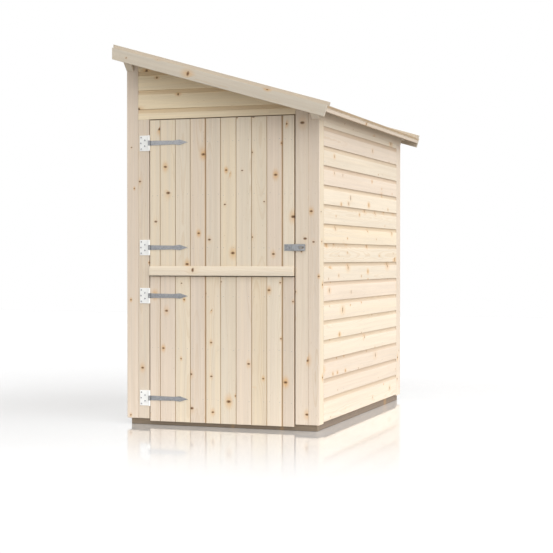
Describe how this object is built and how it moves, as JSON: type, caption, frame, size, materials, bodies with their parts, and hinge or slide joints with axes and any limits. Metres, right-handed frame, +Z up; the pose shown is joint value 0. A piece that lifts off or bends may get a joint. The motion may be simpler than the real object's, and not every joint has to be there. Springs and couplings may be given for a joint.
{
  "type": "timber garden shed with a pent roof and a stable door",
  "caption": "Small garden shed of pale softwood: log-profile cladding, single-slope board roof with bargeboards, stable door on strap hinges, hasp and staple.",
  "frame": {"origin": "at ground level, in the middle of the roof's plan", "axes": "+X towards the low eave (the roof falls that way), the door faces -Y, +Z up"},
  "size_m": [1.322, 2.237, 2.2472],
  "materials": {
    "planed_spruce": "planed, untreated, with small knots",
    "cladding_spruce": "planed log profile, untreated",
    "frame_spruce": "sawn, untreated",
    "galvanised_steel": "dull galvanised",
    "white_metal": "satin white"
  },
  "bodies": {
    "shed": {"front_gable": "planed_spruce", "left_corner_board": "planed_spruce", "right_corner_board": "planed_spruce", "left_jamb_board": "planed_spruce", "right_jamb_board": "planed_spruce", "back_wall": "planed_spruce", "back_corner_boards": "planed_spruce", "front_bargeboard": "planed_spruce", "back_bargeboard": "planed_spruce", "roof_deck": "planed_spruce", "floor_boards": "planed_spruce", "left_wall": "cladding_spruce", "right_wall": "cladding_spruce", "side_corner_boards": "cladding_spruce", "eave_strip": "cladding_spruce", "front_bearer": "frame_spruce", "back_bearer": "frame_spruce", "long_bearers": "frame_spruce", "corner_posts": "frame_spruce", "door_posts": "frame_spruce", "lintel": "frame_spruce", "door_stops": "frame_spruce", "side_studs": "frame_spruce", "back_studs": "frame_spruce", "high_purlin": "frame_spruce", "middle_purlin": "frame_spruce", "low_purlin": "frame_spruce", "gable_rafters": "frame_spruce", "edge_battens": "frame_spruce", "staple": "galvanised_steel", "upper_leaf_top_plate": "white_metal", "upper_leaf_bottom_plate": "white_metal", "lower_leaf_top_plate": "white_metal", "lower_leaf_bottom_plate": "white_metal"},
    "upper_leaf": {"upper_leaf_boards": "planed_spruce", "upper_leaf_ledges": "frame_spruce", "weather_rail": "planed_spruce", "upper_leaf_top_strap": "galvanised_steel", "upper_leaf_bottom_strap": "galvanised_steel", "hasp_plate": "galvanised_steel"},
    "lower_leaf": {"lower_leaf_boards": "planed_spruce", "lower_leaf_ledges": "frame_spruce", "lower_leaf_top_strap": "galvanised_steel", "lower_leaf_bottom_strap": "galvanised_steel"},
    "hasp": {"hasp": "galvanised_steel"}
  },
  "joints": [
    {"name": "upper_leaf_hinge", "type": "hinge", "parent": "shed", "child": "upper_leaf", "pos_m": [-0.498, -0.9565, 1.365], "axis": [0, 0, -1], "range_deg": [0, 110]},
    {"name": "lower_leaf_hinge", "type": "hinge", "parent": "shed", "child": "lower_leaf", "pos_m": [-0.498, -0.9565, 0.4645], "axis": [0, 0, -1], "range_deg": [0, 110]},
    {"name": "hasp_hinge", "type": "hinge", "parent": "upper_leaf", "child": "hasp", "pos_m": [0.399, -0.955, 1.053], "axis": [0, 0, -1], "range_deg": [0, 120]}
  ]
}
